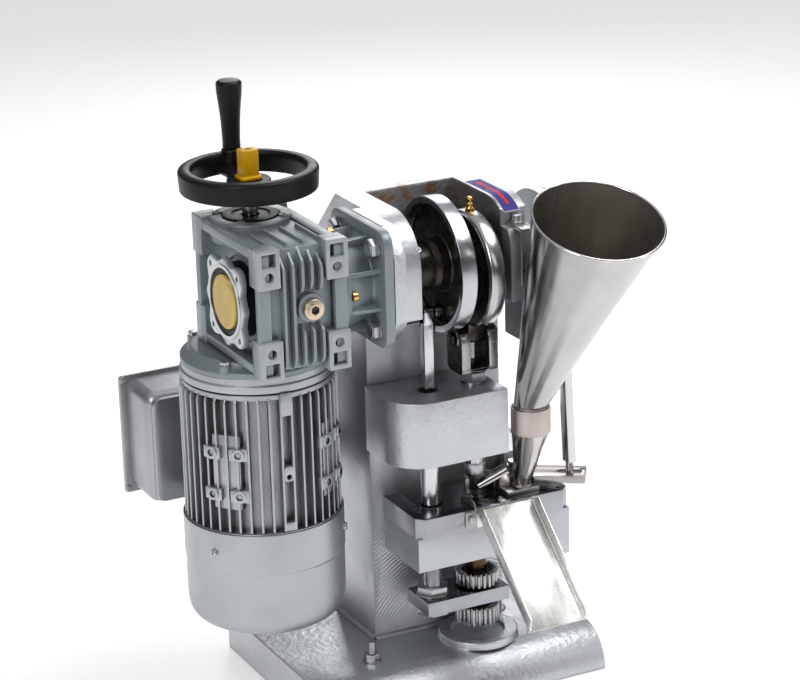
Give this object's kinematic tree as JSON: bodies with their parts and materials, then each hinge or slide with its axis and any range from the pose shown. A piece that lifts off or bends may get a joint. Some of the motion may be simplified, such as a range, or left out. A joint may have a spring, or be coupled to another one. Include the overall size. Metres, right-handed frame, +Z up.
{
  "type": "tablet press",
  "caption": "Bench tablet press: geared motor with handwheel, crank-driven upper ram, die table, lifting rod, swinging hopper boot and discharge chute.",
  "frame": {"origin": "on the punch axis, at the underside of the base", "axes": "+X right along the main shaft, away from the motor; +Y back; +Z up along the punch axis"},
  "size_m": [0.403, 0.3672, 0.589],
  "materials": {
    "silver_casting": "silver paint over cast iron, slightly rough",
    "drive_casting": "grey paint on aluminium casting",
    "motor_silver": "silver paint",
    "polished_steel": "ground and polished",
    "dark_steel": "blackened, oiled",
    "gear_steel": "cut teeth, satin",
    "stainless_sheet": "bright stainless sheet",
    "zinc_steel": "zinc plated",
    "brass_parts": "bright",
    "bronze_parts": "turned bronze",
    "black_plastic": "moulded",
    "yellow_plastic": "moulded",
    "bearing_steel": "ground",
    "iron_core": "laminated iron",
    "box_paint": "silver painted sheet"
  },
  "bodies": {
    "frame": {"base_plate": "silver_casting", "foot_studs": "zinc_steel", "frame_column": "silver_casting", "head_casting": "silver_casting", "bearing_bushes": "bronze_parts", "guide_block": "silver_casting", "table_plate": "polished_steel", "die": "polished_steel", "boot_pivot": "polished_steel", "front_bracket": "stainless_sheet", "rocker_bracket": "silver_casting", "frame_screws": "zinc_steel", "chute": "stainless_sheet", "reducer_housing": "drive_casting", "side_cover": "drive_casting", "end_cap": "yellow_plastic", "oil_plug": "bronze_parts", "output_flange": "drive_casting", "flange_bolts": "zinc_steel", "bearings": "bearing_steel", "end_shields": "drive_casting", "motor_frame": "motor_silver", "stator": "iron_core", "fan_cowl": "motor_silver", "cover_screws": "brass_parts", "terminal_box": "box_paint", "terminal_lid": "box_paint", "cable_gland": "black_plastic"},
    "shaft_line": {"main_shaft": "dark_steel", "eccentric_sheave": "dark_steel", "lift_cam_cup": "polished_steel", "boot_cam": "silver_casting", "shaft_screws": "zinc_steel", "worm_wheel": "bronze_parts"},
    "drive_line": {"worm": "polished_steel", "rotor": "iron_core", "fan": "black_plastic", "handwheel": "black_plastic", "wheel_post": "yellow_plastic"},
    "grip": {"crank_handle": "black_plastic"},
    "strap": {"eccentric_strap": "polished_steel", "grease_nipple": "brass_parts"},
    "ram": {"ram_fork": "dark_steel", "fork_pins": "dark_steel", "ram_lock_nut": "zinc_steel", "upper_ram": "polished_steel", "punch_holder": "zinc_steel", "upper_punch": "dark_steel"},
    "lifter": {"lifting_rod": "polished_steel", "lifting_plate": "polished_steel", "lifting_nuts": "zinc_steel", "lower_ram": "bronze_parts"},
    "roller": {"cam_roller": "bearing_steel"},
    "ejection_gear": {"upper_gear": "gear_steel"},
    "fill_gear": {"lower_gear": "gear_steel"},
    "boot": {"hopper": "stainless_sheet", "hopper_spout": "stainless_sheet", "boot_shoe": "stainless_sheet", "boot_arm": "stainless_sheet"},
    "rocker": {"rocker_arm": "polished_steel"}
  },
  "joints": [
    {"name": "main_shaft_spin", "type": "hinge", "parent": "frame", "child": "shaft_line", "pos_m": [0, 0, 0.418], "axis": [1, 0, 0], "continuous": true},
    {"name": "worm_spin", "type": "hinge", "parent": "frame", "child": "drive_line", "pos_m": [-0.196, 0.05, 0.418], "axis": [0, 0, 1], "continuous": true},
    {"name": "handle_spin", "type": "hinge", "parent": "drive_line", "child": "grip", "pos_m": [-0.188, 0.104, 0.53], "axis": [0, 0, 1], "continuous": true},
    {"name": "strap_swing", "type": "hinge", "parent": "shaft_line", "child": "strap", "pos_m": [0, 0, 0.408], "axis": [1, 0, 0], "continuous": true},
    {"name": "ram_slide", "type": "slide", "parent": "frame", "child": "ram", "axis": [0, 0, 1], "range_m": [0, 0.02]},
    {"name": "lift_slide", "type": "slide", "parent": "frame", "child": "lifter", "axis": [0, 0, 1], "range_m": [0, 0.012]},
    {"name": "roller_spin", "type": "hinge", "parent": "lifter", "child": "roller", "pos_m": [-0.037, 0, 0.372], "axis": [1, 0, 0], "continuous": true},
    {"name": "ejection_gear_turn", "type": "hinge", "parent": "lifter", "child": "ejection_gear", "pos_m": [0, 0, 0.101], "axis": [0, 0, 1], "continuous": true},
    {"name": "fill_gear_turn", "type": "hinge", "parent": "lifter", "child": "fill_gear", "pos_m": [0, 0, 0.064], "axis": [0, 0, 1], "continuous": true},
    {"name": "boot_swing", "type": "hinge", "parent": "frame", "child": "boot", "pos_m": [0.048, 0.006, 0.19], "axis": [0, 0, 1], "range_deg": [-8.5, 0.5]},
    {"name": "rocker_swing", "type": "hinge", "parent": "frame", "child": "rocker", "pos_m": [0.09, -0.012, 0.343], "axis": [1, 0, 0], "range_deg": [-3.6, 0.3]}
  ],
  "couplings": [
    {"joint": "worm_spin", "follows": "main_shaft_spin", "ratio": 20},
    {"joint": "strap_swing", "follows": "main_shaft_spin", "ratio": -1},
    {"joint": "rocker_swing", "follows": "boot_swing", "ratio": 0.41}
  ]
}
